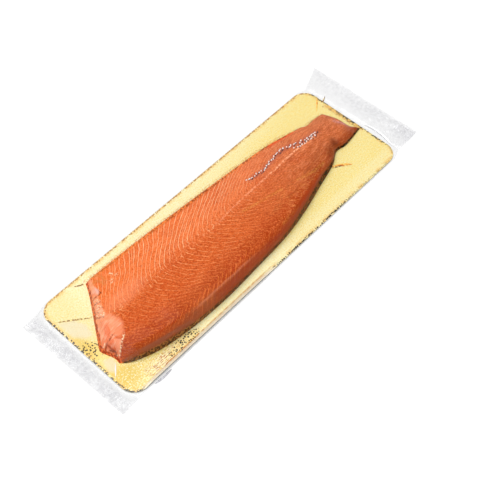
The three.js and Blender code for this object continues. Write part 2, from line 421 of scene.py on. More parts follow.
def draped(off, stretch, u, v):
    """A skin over the salmon: off grows its footprint, stretch lifts it.

    Gives its plan and height, how fully it has risen from its edges, the distance from the cut
    edge, and that distance as a share of the cut face's run.
    """
    edges = [LOIN_EDGE, TAIL_EDGE, BELLY_EDGE[::-1], CUT_EDGE[::-1]]
    loop = grow_loop([point for edge in edges for point in edge[:-1]], off)
    loop = np.vstack([loop, loop[:1]])
    ends = np.cumsum([0] + [len(edge) - 1 for edge in edges])
    loin, tail, belly, cut = [spline(loop[start:end + 1][::turn]) for start, end, turn
                              in zip(ends[:-1], ends[1:], (1, 1, -1, -1))]

    low, high = loin(u)[:, None], belly(u)[:, None]
    near, far = cut(v)[None], tail(v)[None]
    us, vs = u[:, None, None], v[None, :, None]
    corners = ((1 - us) * (1 - vs) * cut(0) + us * (1 - vs) * tail(0)
               + (1 - us) * vs * cut(1) + us * vs * tail(1))
    plan = (1 - vs) * low + vs * high + (1 - us) * near + us * far - corners
    x = plan[..., 0]
    width = np.linalg.norm(high - low, axis=2)
    us, vs = u[:, None], v[None, :]
    stub = smooth(x, STUB_FROM, STUB_TO)
    share = across_share(vs) * (1 - stub) + STUB_ACROSS * stub
    from_cut = us * loin.length
    cut_share = from_cut / (CUT_RUN_LOIN + (CUT_RUN_BELLY - CUT_RUN_LOIN) * vs)
    slope = 1 - (1 - np.minimum(cut_share, 1)) ** 1.5
    risen = (rounded(vs * width, LOIN_ROUND) * rounded((1 - vs) * width, BELLY_ROUND)
             * rounded((1 - us) * loin.length, TAIL_ROUND) * slope)
    height = (crest_height(x) * share + stretch) * risen
    return plan, height, risen, np.broadcast_to(from_cut, x.shape), cut_share


def past_board(x, y):
    """How far a place lies outside the board's outline, below 0 on the board."""
    from_core = np.stack([np.abs(x) - BOARD_HALF[0] + BOARD_CORNER,
                          np.abs(y) - BOARD_HALF[1] + BOARD_CORNER])
    outside = np.hypot(*np.maximum(from_core, 0))
    return outside + np.minimum(from_core.max(0), 0) - BOARD_CORNER


def lip(x, y):
    """The board's near long edge turns up a little from the head to the middle."""
    rise = smooth(-y, -LIP_FOLD, BOARD_HALF[1] + 1)
    return LIP_HEIGHT * rise * window(x, -250, -225, LIP_END - 60, LIP_END)


# ---- meshes ----


def normals(grid):
    """Upward normals of a grid of points."""
    normal = np.cross(np.gradient(grid, axis=0), np.gradient(grid, axis=1))
    return normal / np.maximum(np.linalg.norm(normal, axis=2), 1e-9)[..., None]


def grid_faces(rows, columns, start=0, flip=False):
    """The squares of a grid, turned upwards or flipped."""
    index = start + np.arange(rows * columns).reshape(rows, columns)
    quads = np.stack([index[:-1, :-1], index[1:, :-1], index[1:, 1:], index[:-1, 1:]], -1)
    quads = quads.reshape(-1, 4)
    return quads[:, ::-1] if flip else quads


def rim(rows, columns):
    """Indices round the edge of a grid, counter-clockwise seen from above."""
    index = np.arange(rows * columns).reshape(rows, columns)
    return np.concatenate([index[:-1, 0], index[-1, :-1], index[:0:-1, -1], index[0, :0:-1]])


def add_object(name, data):
    """A new object in the scene."""
    added = bpy.data.objects.new(name, data)
    bpy.context.scene.collection.objects.link(added)
    return added


def make_mesh(name, points, faces, attributes=None):
    """A smooth piece with values painted on its points."""
    mesh = bpy.data.meshes.new(name)
    mesh.from_pydata(place(points).tolist(), [], faces)
    mesh.validate()
    mesh.polygons.foreach_set("use_smooth", np.ones(len(mesh.polygons), bool))
    for key, values in (attributes or {}).items():
        made = mesh.attributes.new(key, "FLOAT", "POINT")
        made.data.foreach_set("value", np.asarray(values, np.float32).ravel())
    return add_object(name, mesh)


def make_shell(name, top, bottom, attributes):
    """A closed body between two grids of points, with a narrow sharp-edged wall all round."""
    rows, columns = top.shape[:2]
    count = rows * columns
    ring = rim(rows, columns)
    after = np.roll(ring, -1)
    walls = np.stack([ring + count, after + count, after, ring], 1)
    faces = np.vstack([grid_faces(rows, columns), grid_faces(rows, columns, count, True), walls])
    points = np.vstack([top.reshape(-1, 3), bottom.reshape(-1, 3)])
    both = {key: np.concatenate([values.ravel()] * 2) for key, values in attributes.items()}
    shell = make_mesh(name, points, faces.tolist(), both)
    shell.data.set_sharp_from_angle(angle=SHARP_ANGLE)
    return shell


def search_tree(grid):
    """The faces of a grid of points, to find heights on it."""
    return BVHTree.FromPolygons(grid.reshape(-1, 3).tolist(), grid_faces(*grid.shape[:2]).tolist())


def height_on(tree, x, y, otherwise=0.0):
    """The height of a skin at a place in plan."""
    hit = tree.ray_cast(Vector((x, y, 100)), Vector((0, 0, -1)))[0]
    return hit.z if hit else otherwise


def add_ridge(tree, points, faces, path, asides, lifts, root, otherwise=0.0):
    """Adds a three-sided ridge that stands on a skin along a path.

    Each section reaches aside on both sides, where it goes down by root, and is lifted between.
    """
    start = len(points)
    for middle, aside, lift in zip(path, asides, lifts):
        for side, rise in ((1, -root), (0, lift), (-1, -root)):
            x, y = middle + side * aside
            points.append((x, y, height_on(tree, x, y, otherwise) + rise))
    last = len(points) - 3
    for a in range(start, last, 3):
        faces += [[a, a + 1, a + 4, a + 3], [a + 1, a + 2, a + 5, a + 4], [a + 2, a, a + 3, a + 5]]
    faces += [[start, start + 2, start + 1], [last, last + 1, last + 2]]


# ---- materials ----


class Finish:
    """A material whose nodes are added and wired by short calls.

    A share is a number, a socket, an attribute's name, or a list of these to be multiplied. A tone
    is a socket or a display colour of 0 to 255 a channel.
    """

    def __init__(self, name):
        self.material = bpy.data.materials.new(name)
        self.material.use_nodes = True
        self.tree = self.material.node_tree
        self.tree.nodes.clear()

    def add(self, kind, inputs, output=0, **settings):
        node = self.tree.nodes.new("ShaderNode" + kind)
        for key, value in settings.items():
            setattr(node, key, value)
        for key, value in inputs.items():
            if isinstance(value, bpy.types.NodeSocket):
                self.tree.links.new(value, node.inputs[key])
            else:
                node.inputs[key].default_value = value
        return node.outputs[output]

    def share(self, given):
        if isinstance(given, str):
            return self.add("Attribute", {}, "Fac", attribute_name=given)
        if isinstance(given, list):
            product = self.share(given[0])
            for factor in given[1:]:
                product = self.math("MULTIPLY", product, self.share(factor))
            return product
        return given

    def times(self, *factors):
        return self.share(list(factors))

    def math(self, operation, first, second=0.0, third=0.0):
        return self.add("Math", {0: first, 1: second, 2: third}, operation=operation)

    def span(self, value, low, high, at_high=1.0, at_low=0.0):
        """Eases from at_low to at_high while the value goes from low to high."""
        inputs = {"Value": value, "From Min": low, "From Max": high, "To Min": at_low,
                  "To Max": at_high}
        return self.add("MapRange", inputs, interpolation_type="SMOOTHSTEP")

    def mix(self, share, first, second):
        tones = [srgb(*tone) if isinstance(tone, tuple) else tone for tone in (first, second)]
        inputs = {0: self.share(share), 6: tones[0], 7: tones[1]}
        return self.add("Mix", inputs, 2, data_type="RGBA", blend_type="MIX")

    def layered(self, tone, layers):
        """A tone with others laid over it in turn, each by its share."""
        for share, over in layers:
            tone = self.mix(share, tone, over)
        return tone

    def ramp(self, value, stops):
        node = self.tree.nodes.new("ShaderNodeValToRGB")
        self.tree.links.new(value, node.inputs[0])
        elements = node.color_ramp.elements
        while len(elements) < len(stops):
            elements.new(1.0)
        for element, (position, tone) in zip(elements, stops):
            element.position = position
            element.color = srgb(*tone)
        return node.outputs[0]

    def place(self):
        return self.add("TexCoord", {}, "Object")

    def scaled(self, scale, turn=0.0):
        return self.add("Mapping", {"Vector": self.place(), "Scale": scale, "Rotation": (0, 0, turn)})

    def plane(self, first, second):
        """A vector of two values, each given with its scale."""
        ends = [value if scale == 1 else self.times(value, scale) for value, scale in (first, second)]
        return self.add("CombineXYZ", {0: ends[0], 1: ends[1]})

    def noise(self, scale, detail=2.0, vector=None, roughness=0.5):
        """Noise over the object, or over the given vector."""
        inputs = {"Scale": scale, "Detail": detail, "Roughness": roughness,
                  "Vector": self.place() if vector is None else vector}
        return self.add("TexNoise", inputs)

    def cells(self, scale, output="Distance"):
        inputs = {"Vector": self.place(), "Scale": scale, "Randomness": 1.0}
        return self.add("TexVoronoi", inputs, output)

    def cell_share(self, scale):
        """A random share for each cell."""
        return self.add("SeparateColor", {"Color": self.cells(scale, "Color")}, "Red")

    def bump(self, height, distance, strength):
        return self.add("Bump", {"Height": height, "Distance": distance, "Strength": strength})

    def finish(self, shader):
        output = self.tree.nodes.new("ShaderNodeOutputMaterial")
        self.tree.links.new(shader, output.inputs["Surface"])
        return self.material

    def principled(self, inputs):
        return self.finish(self.add("BsdfPrincipled", inputs))


def flesh_finish():
    """Smoked flesh: orange belly, deeper loin, pale fat lines, fine fibres and the midline."""
    s = Finish("smoked_flesh")
    along, across, phase, loin_side, foot = [
        s.share(name) for name in ("along", "across", "phase", "loin_side", "foot")]
    tailwards = s.span(along, 0.56, 0.82)
    cloud = s.noise(24.0, 3.0)
    grain = s.noise(480.0, 1.0)
    dotted = s.noise(330.0, 1.0)
    fibres = s.noise(1.6, 3.0, s.plane((phase, 5.0), (across, 11.0)), 0.62)
    brushed = s.noise(1.0, 3.0, s.plane((along, 60.0), (across, 44.0)), 0.6)
    blotches = s.noise(1.0, 4.0, s.plane((along, 20.0), (across, 12.0)), 0.65)

    belly = s.ramp(along, [(0.0, (242, 117, 50)), (0.35, (238, 118, 59)), (0.62, (225, 113, 62)),
                           (0.8, (206, 108, 62)), (1.0, (190, 106, 66))])
    loin = s.ramp(along, [(0.0, (206, 82, 24)), (0.45, (207, 90, 34)), (0.8, (196, 94, 46)),
                          (1.0, (184, 96, 56))])
    pale = s.mix(loin_side, (252, 150, 96), (242, 136, 76))
    dark_grain = s.math("MULTIPLY_ADD", loin_side, 0.3, 0.34)
    flesh = s.layered(s.mix(loin_side, belly, loin), [
        ("crest", (172, 58, 2)),
        (s.span(cloud, 0.5, 0.75, 0.4), (196, 76, 30)),
        (s.span(cloud, 0.5, 0.25, 0.3), (240, 120, 58)),
        (s.span(fibres, 0.51, 0.72, 0.75), pale),
        (s.span(fibres, 0.49, 0.28, 0.85), (174, 62, 24)),
        (s.span(grain, 0.5, 0.75, 0.5), pale),
        ([s.span(grain, 0.5, 0.25), dark_grain], (158, 54, 16)),
        ([s.span(blotches, 0.5, 0.68, 0.6), tailwards], (232, 136, 88)),
        ([s.span(blotches, 0.5, 0.32, 0.65), tailwards], (166, 68, 32)),
        ([s.span(brushed, 0.5, 0.68, 0.38), tailwards], (240, 156, 108)),
        ([s.span(brushed, 0.5, 0.32, 0.42), tailwards], (156, 62, 28)),
    ])

    dash = s.noise(1.0, 2.0, s.plane((phase, 1), (across, 24.0)))
    kept = s.math("MAXIMUM", s.span(dash, 0.36, 0.56), s.span(loin_side, 0.0, 1.0, 0.0, 0.62))
    astray = s.math("MULTIPLY_ADD", s.share("tangle"), 1.5, 0.16)
    wobble = s.times(s.math("SUBTRACT", s.noise(150.0, 1.0), 0.5), astray)
    from_line = s.math("PINGPONG", s.math("ADD", phase, wobble), 0.5)
    line = s.times(s.span(from_line, 0.12, 0.03), kept, "marbling")
    faint = [s.span(from_line, 0.40, 0.47), s.span(dash, 0.45, 0.62), "marbling", 0.4]
    fat = s.mix(loin_side, (255, 196, 148), (252, 166, 104))
    fat = s.mix("crest", fat, (230, 122, 52))
    on_midline = s.span(s.math("ABSOLUTE", s.share("mid_side")), 2.3, 0.5)
    beads = s.span(dotted, 0.44, 0.54, 1.0, 0.1)

    # The wall's dark foot, partly its dark skin and partly painted shade at its base, and the brown one
    # along the belly.
    coarse = s.span(dotted, 0.48, 0.58)
    blackish = s.mix(tailwards, (84, 52, 22), (30, 18, 6))
    brownish = s.mix("rust", (176, 114, 58), (136, 30, 0))
    dark = s.mix(coarse, blackish, s.mix(tailwards, brownish, (126, 58, 8)))
    darkened = s.math("MULTIPLY_ADD", tailwards, 0.14, foot)
    brown = s.mix(s.span(along, 0.1, 0.5), (190, 96, 34), (138, 66, 14))
    brown = s.mix(s.span(s.noise(300.0, 1.0), 0.47, 0.54), brown, (244, 134, 60))

    # The cut end, with its torn and folded flesh under creased film: painted light and shade that change
    # from facet to facet, and painted highlights and shade along the folds.
    pink = s.mix(s.span(s.cell_share(85.0), 0.1, 0.9), (244, 128, 80), (255, 160, 118))
    folds = s.noise(1.0, 2.0, s.scaled((70.0, 420.0, 70.0), math.radians(-50)))
    pink = s.layered(pink, [
        (s.span(across, 0.3, 0.5, 0.6), (255, 170, 124)),
        (s.span(folds, 0.52, 0.64, 0.6), (255, 194, 160)),
        (s.span(folds, 0.45, 0.33, 0.35), (206, 88, 44)),
        ("ruddy", (206, 76, 28)),
    ])
    jagged = s.span(s.noise(440.0, 1.0), 0.42, 0.5, 0.9)
    glinting = s.span(s.noise(500.0, 0.0), 0.49, 0.56)

    flesh = s.layered(flesh, [
        ([s.span(from_line, 0.22, 0.42, 0.45), "streaks"], (160, 62, 18)),
        ([line, 0.95], fat),
        (faint, fat),
        ([on_midline, beads, "mid_fat"], (255, 176, 132)),
        ("bone_tint", (170, 92, 74)),
        ("reddened", (226, 66, 26)),
        ([s.span(fibres, 0.5, 0.66, 0.55), "gilded"], (222, 146, 78)),
        ([s.span(blotches, 0.52, 0.34, 0.5), "gilded"], (150, 72, 26)),
        (["golden", s.span(grain, 0.4, 0.6, 0.6, 0.1)], (222, 148, 66)),
        # A pale patch of painted film glare near the cut end.
        ("film_glare_patch", (238, 188, 170)),
        # Painted shade in the waist's valley.
        ("valley", (118, 44, 10)),
        # Painted film reflection on the tail's end.
        ("tail_end_reflection", (176, 108, 92)),
        # Painted reflection on the wall under the loin's ridge.
        ("under_ridge_reflection", (142, 84, 52)),
        ("browned", (168, 92, 52)),
        (["sheen", s.span(grain, 0.4, 0.6, 0.8, 0.25)], (214, 166, 168)),
        # Painted highlight along the loin's ridge.
        ("ridge", (236, 160, 122)),
        ("shade", (112, 52, 16)),
        ("blush", (255, 160, 118)),
        ("tail_foot", (96, 50, 24)),
        (s.span(foot, 0.08, 0.6, 0.65), (176, 76, 20)),
        ([s.span(foot, 0.34, 0.5), s.span(cloud, 0.4, 0.6, 0.8, 0.2)], (154, 88, 60)),
        ("rust", (166, 54, 4)),
        (s.span(darkened, 0.6, 0.8), dark),
        # Painted shade along the belly's edge.
        ("belly_edge_shade", (192, 82, 26)),
        ("belly_foot", brown),
        (["cut", 0.92], pink),
        # Painted shade under a fold, painted reflection in arcs, and painted shade in the creases.
        ("wedge", (176, 64, 18)),
        (["arc_reflections", 0.5], (210, 130, 70)),
        (["creases", jagged], (122, 52, 16)),
        (["glints", glinting], (255, 226, 184)),
        ("cut_foot", s.mix(coarse, (170, 58, 14), (244, 118, 58))),
    ])

    relief = s.math("ADD", s.times(line, 0.5), s.times(fibres, 0.5))
    return s.principled({
        "Base Color": flesh, "Roughness": s.span(fibres, 0.3, 0.8, 0.5, 0.36),
        "Normal": s.bump(relief, 0.0006, 0.5), "Subsurface Weight": 0.08,
        "Subsurface Radius": (1.0, 0.4, 0.15), "Subsurface Scale": 0.0012, "IOR": 1.38,
        "Specular IOR Level": 0.12, "Coat Weight": 0.09, "Coat Roughness": 0.14, "Coat IOR": 1.42,
        "Coat Normal": s.bump(s.noise(38.0), 0.002, 0.25),
    })


def gold_finish():
    """Gold laminate: satin and pale, with a dark broken rim line of painted shadow, painted glare where
    film lifts, and painted light and reflection in places.
    """
    s = Finish("gold_laminate")
    edge = s.share("edge")
    fine = s.noise(420.0)
    grain = s.noise(560.0, 1.0)
    grainy = s.math("ADD", 0.45, s.share("grainy"))
    streaks = s.noise(1.0, 1.0, s.scaled((160.0, 900.0, 1.0)))
    dot = s.times(s.span(s.cells(400.0), 0.5, 0.42), s.span(s.cell_share(400.0), 0.26, 0.3))
    speckled = s.span(s.share("specks"), 0.1, 0.45)
    spatter = s.span(s.noise(460.0, 1.0), 0.48, 0.56)
    stains = s.span(s.noise(95.0), 0.42, 0.58)
    # Dots of painted shadow along the board's edge, as its rim line.
    broken = s.times(s.span(edge, -2.4, -1.6), s.span(s.noise(380.0, 0.0), 0.48, 0.53))
    rim_line = s.math("MAXIMUM", broken, s.times(s.span(edge, -3.4, -2.6), dot))

    gold = s.mix(s.span(s.noise(7.0, 3.0), 0.3, 0.7), (244, 223, 138), (246, 229, 152))
    gold = s.layered(gold, [
        # Painted reflection towards the far side and head, and painted light beside the salmon's near
        # side.
        ("pale", (249, 241, 192)),
        ("painted_light", (255, 250, 200)),
        ("dull", (226, 206, 128)),
        (s.span(fine, 0.35, 0.7, 0.4), (250, 216, 104)),
        ("deep", (224, 190, 68)),
        ([s.span(grain, 0.52, 0.72), grainy], (226, 184, 78)),
        ([s.span(grain, 0.48, 0.28), grainy], (255, 250, 220)),
        ("glare", (228, 218, 192)),
        ([s.span(streaks, 0.54, 0.6, 0.95), "dashes"], (176, 74, 20)),
        ([speckled, 0.4], (244, 206, 96)),
        ([dot, speckled], (22, 12, 2)),
        ([spatter, "by_belly"], (206, 128, 44)),
        ([s.span(edge, -7.5, -2.0), stains, 0.65], (240, 190, 96)),
        # The rim line's painted shadow, paler along the far side.
        ([rim_line, "rim"], s.mix("far_rim", (34, 20, 4), (190, 140, 74))),
        ("fold", (196, 116, 48)),
        # Painted reflection on the turned-up lip.
        ("lip", (255, 244, 222)),
    ])
    return s.principled({
        "Base Color": gold, "Metallic": 0.2, "Roughness": s.span(fine, 0.3, 0.7, 0.48, 0.36),
        "Normal": s.bump(fine, 0.00006, 0.35),
    })


def card_finish():
    """The board's core and underside: cream card with a faint grain."""
    s = Finish("card_core")
    tone = s.mix(s.span(s.noise(900.0), 0.3, 0.7), (240, 226, 190), (250, 240, 214))
    return s.principled({"Base Color": tone, "Roughness": 0.8})


def film_finish(name):
    """Clear film: it lets through what lies behind, mirrors at a slant and turns milky in folds."""
    s = Finish(name)
    creased = s.noise(46.0, 3.0, roughness=0.6)
    ribs = s.add("TexWave", {"Vector": s.place(), "Scale": 260.0, "Distortion": 0.6}, "Fac")
    height = s.math("ADD", s.times(creased, "slack"), s.times(ribs, "seal", 0.35))
    bumped = s.bump(height, 0.0016, 0.6)
    facing = s.add("LayerWeight", {"Blend": 0.5, "Normal": bumped}, "Facing")
    mirror = s.math("ADD", 0.012, s.times(s.math("POWER", facing, 4.0), 0.4))
    through = s.add("BsdfTransparent", {"Color": FILM_CLEARNESS})
    gloss = s.add("BsdfGlossy", {"Color": (1, 1, 1, 1), "Roughness": 0.11, "Normal": bumped})
    clear = s.add("MixShader", {0: s.times(mirror, "free"), 1: through, 2: gloss})
    milk = s.add("BsdfDiffuse", {"Color": srgb(226, 225, 231), "Normal": bumped})
    haze = s.times("haze", s.span(s.noise(230.0, 3.0, roughness=0.7), 0.36, 0.66, 1.0, 0.3))
    return s.finish(s.add("MixShader", {0: haze, 1: clear, 2: milk}))


def pleat_finish(name, tone, between):
    """One side of a pleat of folded film, broken up by what shows between its folds."""
    s = Finish(name)
    seen = s.mix(s.span(s.noise(310.0, 1.0), 0.42, 0.5), between, tone)
    return s.principled({"Base Color": seen, "Roughness": 0.3})


def bone_finish(name, tone):
    """The pin bones' ends, or the painted shade of the pits beside them."""
    return Finish(name).principled({"Base Color": srgb(*tone), "Roughness": 0.4})


def table_finish():
    """Plain matt white."""
    s = Finish("white_table")
    return s.finish(s.add("BsdfDiffuse", {"Color": (0.93, 0.93, 0.93, 1)}))


# ---- the pieces ----


def seen(x, y, height):
    """Where the top view that LINE_SLANTS is laid out in shows a place at a height."""
    return x + LEAN[0] * height, y + LEAN[1] * height


def lines_phase(seen_x, seen_y):
    """Which fat line a seen place lies on, in turns, found by following the lines over Y."""
    seen_x = seen_x + 1.5 * ripples(seen_x, seen_y, 40, 3) + 0.55 * ripples(seen_x, seen_y, 12, 4)
    # The lines are followed on a grid of 1 mm that reaches past the salmon all round.
    places, levels = np.arange(-330, 361, 1.0), np.arange(-80, 91, 1.0)
    rows = np.array([profile(row)(places) for _, row in LINE_SLANTS])
    knots = [level for level, _ in LINE_SLANTS]
    slants = np.array([np.interp(levels, knots, column) for column in rows.T]).T
    turns = np.concatenate([[0], np.cumsum(1 / profile(LINE_SPACING)(places[:-1]))])
    first = int(LINES_FROM - levels[0])
    roots = np.zeros((len(levels), len(places)))
    roots[first] = places
    for j in range(first + 1, len(levels)):
        roots[j] = np.interp(places - slants[j], places, roots[j - 1])
    for j in range(first - 1, -1, -1):
        roots[j] = np.interp(places + slants[j], places, roots[j + 1])
    rise = np.clip(seen_y - levels[0], 0, len(levels) - 1.001)
    along = np.clip(seen_x - places[0], 0, len(places) - 1.001)
    low, left = rise.astype(int), along.astype(int)
    over, ahead = rise - low, along - left
    lower = roots[low, left] * (1 - ahead) + roots[low, left + 1] * ahead
    upper = roots[low + 1, left] * (1 - ahead) + roots[low + 1, left + 1] * ahead
    return np.interp(lower * (1 - over) + upper * over, places, turns)


def make_salmon():
    """The side of salmon with its painted zones; gives a search tree of its upper side."""
    u, v = eased(FLESH_ALONG), eased(FLESH_ACROSS)
    plan, height, risen, from_cut, cut_share = draped(0, 0, u, v)
    x, y = plan[..., 0], plan[..., 1]
    seen_x, seen_y = seen(x, y, height)
    us, vs = np.broadcast_arrays(u[:, None], v[None, :])
    phase = lines_phase(seen_x, seen_y)
    by_bones = smooth(np.abs(beside(PIN_BONE_ROWS[0], x, y)), 7, 1) * window(x, 60, 80, 195, 212)
    from_loin = vs * np.linalg.norm(plan[:, -1] - plan[:, 0], axis=1)[:, None]
    from_tail = (1 - us) * SALMON_LENGTH
    stub_end = smooth(x, 226, 244)

    cut = fade(cut_share + 0.05 * ripples(x, y, 14, 9), 0.92, 1.1)
    cut *= 1 - 0.5 * window(vs, 0.5, 0.7, 0.8, 0.88)
    past_end = PINK_END_AHEAD[0] * (y - PINK_END[1]) - PINK_END_AHEAD[1] * (x - PINK_END[0])
    cut *= smooth(past_end, -1.2, 1.2)
    cut = np.maximum(cut, 0.9 * within(PINK_SHOULDER, x, y, 3.5))
    # The wall is painted darker towards its foot: partly its dark skin, partly painted shade at its base.
    darker = 0.8 * hill(x, -190, 42) + smooth(x, 20, 90) * (1 - 0.8 * smooth(x, 150, 190))
    wall = (1 - rounded(from_loin, LOIN_ROUND)) ** (1 / (1 + darker))

    above = seen_y - profile(MIDLINE)(x) - 11 + 3.5 * smooth(x, -60, 20)
    marbling = 1 - 0.35 * smooth(-x, 100, 170) - 0.6 * smooth(x, 40, 110)
    marbling *= 1 - 0.75 * hill(above, 2, 13) * smooth(x, -70, 30)
    marbling *= 1 - 0.35 * smooth(-seen_y, -12, 4)
    marbling *= (0.85 + 0.3 * ripples(x, y, 45, 5)) * (1 - cut)
    marbling *= 1 - 0.5 * smooth(-seen_y, 0, 20) * smooth(x, -40, 30)
    marbling *= 1 + 0.8 * smooth(-seen_y, 36, 48) * fade(x, -80, 0)

    browned = hill(seen_y, -55, 3.6) * window(seen_x, -185, -160, -100, -70)
    browned *= np.clip(0.6 + 0.5 * ripples(x, y, 13, 16), 0, 1)
    # A painted highlight along the loin's ridge.
    ridge = hill(seen_y - 0.6 * ripples(x, y, 30, 15), -57, 1.6) * window(seen_x, -130, -100, -30, 5)
    # Painted reflection on the wall under the loin's ridge.
    under_ridge_reflection = window(-seen_y, 56, 60, 74, 82) * window(seen_x, -180, -140, -20, 30)
    under_ridge_reflection *= np.clip(0.8 + 0.3 * ripples(x, y, 14, 17), 0, 1)
    # The waist's valley is dented and painted darker, as the shade in it.
    valley = hill(beside(WAIST_VALLEY, x, y), 0, 4.6) * smooth(-y, 0, 14)

    on_line = smooth(np.abs((phase + 0.5) % 1 - 0.5), 0.2, 0.0)
    relief = LINE_RELIEF * on_line * marbling - BONE_DENT * by_bones - VALLEY_DEPTH * valley
    relief += 0.45 * ripples(x, y, 55, 7) + 0.12 * ripples(x, y, 17, 8) - FLESH_SUNK
    grid = np.dstack([x, y, SALMON_BASE + height])
    grid += normals(grid) * (relief * smooth(risen, 0.75, 1.0))[..., None]

    attributes = {
        "along": us, "across": vs, "phase": phase, "marbling": np.clip(marbling, 0, 1),
        "mid_side": beside(MIDLINE, x, y),
        "mid_fat": (0.55 * smooth(x, -60, 50) + 0.45 * smooth(x, 70, 110)) * fade(x, 175, 205),
        "tangle": hill(above, 4, 7), "bone_tint": 0.6 * by_bones, "foot": wall, "cut": cut,
        "loin_side": fade(seen_y, 2, 34), "crest": fade(vs * SALMON_WIDTH, 14, 40),
        "cut_foot": fade(from_cut + ripples(x, y, 12, 10), 3.2, 5.2),
        "glints": near_lines(GLINT_LINES, x, y, 1.1),
        "creases": near_lines(CREASE_LINES, x, y, 1.0), "arc_reflections": near_lines(ARC_REFLECTION_LINES, x, y, 2.2),
        "ruddy": 0.3 * near_spot(x, y, (-236, -31), (9, 9)),
        "streaks": smooth(-seen_y, 30, 44) * fade(x, -110, -30) * (1 - cut),
        "wedge": near_lines(WEDGE_LINES, x, y, 0.8), "browned": 0.5 * browned,
        "sheen": 0.6 * near_lines(SHEEN_LINES, x, y, 2.0),
        "belly_foot": 0.8 * smooth(vs, 0.945, 0.96) * (1 - 0.8 * smooth(vs, 0.972, 0.985)),
        "shade": np.maximum.reduce([
            0.5 * smooth(-from_loin, -9, -1.5) * smooth(x, 10, 110),
            0.26 * smooth(x, 80, 170) * smooth(-y, -4, 20) * (1 - 0.5 * stub_end),
            smooth(-from_loin, -22, -7) * smooth(x, 165, 183) * (0.6 - 0.2 * smooth(x, 203, 214)),
        ]),
        "blush": 0.28 * near_spot(x, y, (-175, 15), (50, 19)),
        "tail_foot": 0.75 * smooth(-from_tail, -4, -1) * fade(y, 18, 30),
        # Painted shade along the belly's edge where it dips, towards the middle.
        "belly_edge_shade": 0.55 * smooth(vs, 0.925, 0.96) * window(x, -100, -70, 20, 50),
        # Painted shade in the valley, and a patch of painted film glare.
        "valley": 0.85 * valley, "film_glare_patch": 0.85 * within(FILM_GLARE_PATCH, x, y, 1.5),
        "ridge": 0.28 * ridge, "under_ridge_reflection": 0.5 * under_ridge_reflection,
        "rust": 0.6 * smooth(wall, 0.05, 0.2) * window(x, -115, -70, 120, 160),
        "reddened": 0.8 * near_lines(RED_LINES, x, y, 2.6),
        "golden": near_lines(GOLDEN_LINES, x, y, 1.8),
        "gilded": window(x, 20, 90, 185, 200) * smooth(-seen_y, 4, 26),
        # The tail's end painted greyer pink, as painted film reflection.
        "tail_end_reflection": 0.7 * stub_end * (0.5 + 0.5 * ripples(x, y, 12, 14)).clip(0, 1),
    }
    rows, columns = x.shape
    faces = grid_faces(rows, columns).tolist() + [rim(rows, columns)[::-1].tolist()]
    salmon = make_mesh("smoked_salmon", grid.reshape(-1, 3), faces, attributes)
    salmon.data.polygons[len(faces) - 1].use_smooth = False
    salmon.data.materials.append(flesh_finish())
    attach(salmon, "root")
    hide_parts("salmon_side")
    return search_tree(grid)


def make_pin_bones(flesh_tree):
    """The pin bones' cut ends: short pale stubs, each beside a dark sliver of painted shade for its pit.
    """
    random = np.random.default_rng(PIN_BONE_SEED)
    for name, tone, ahead, aside, lift in PIN_BONE_PIECES:
        points, faces = [], []
        for row in PIN_BONE_ROWS:
            at = spline(row)
            for k in range(int(at.length / PIN_BONE_PITCH)):
                middle = at((k + ahead + random.uniform(0.1, 0.5)) * PIN_BONE_PITCH / at.length)
                middle[1] += aside + random.uniform(-2.1, 2.1)
                turn = PIN_BONE_TURN + random.uniform(-0.5, 0.5)
                length, width = PIN_BONE_SIZE * random.uniform(0.7, 1.15, 2) / 2
                along = length * np.array([math.cos(turn), math.sin(turn)])
                across = width * np.array([-math.sin(turn), math.cos(turn)])
                add_ridge(flesh_tree, points, faces, middle + BONE_STEPS[:, None] * along,
                          BONE_TAPER[:, None] * across, BONE_TAPER * lift, BONE_ROOT)
        piece = make_mesh(name, np.array(points), faces)
        piece.data.materials.append(bone_finish(name, tone))
        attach(piece, "root")


def board_plan():
    """An even grid over the board's outline with its round corners."""
    straight = BOARD_HALF[1] - BOARD_CORNER
    turns = np.linspace(-math.pi / 2, math.pi / 2, BOARD_ACROSS // 2)[BOARD_ACROSS // 4:]
    flat = np.linspace(0, straight, BOARD_ACROSS // 2, endpoint=False)
    half = np.concatenate([flat, straight + BOARD_CORNER * np.sin(turns)])
    ys = np.concatenate([-half[:0:-1], half])
    into_corner = np.maximum(np.abs(ys) - straight, 0)
    inset = BOARD_CORNER - np.sqrt(np.maximum(BOARD_CORNER ** 2 - into_corner ** 2, 0))
    crowded = np.sin(np.linspace(-math.pi / 2, math.pi / 2, BOARD_ALONG))
    shares = 0.7 * np.linspace(-1, 1, BOARD_ALONG) + 0.3 * crowded
    x = shares[:, None] * (BOARD_HALF[0] - inset)[None]
    return x, np.broadcast_to(ys, x.shape)


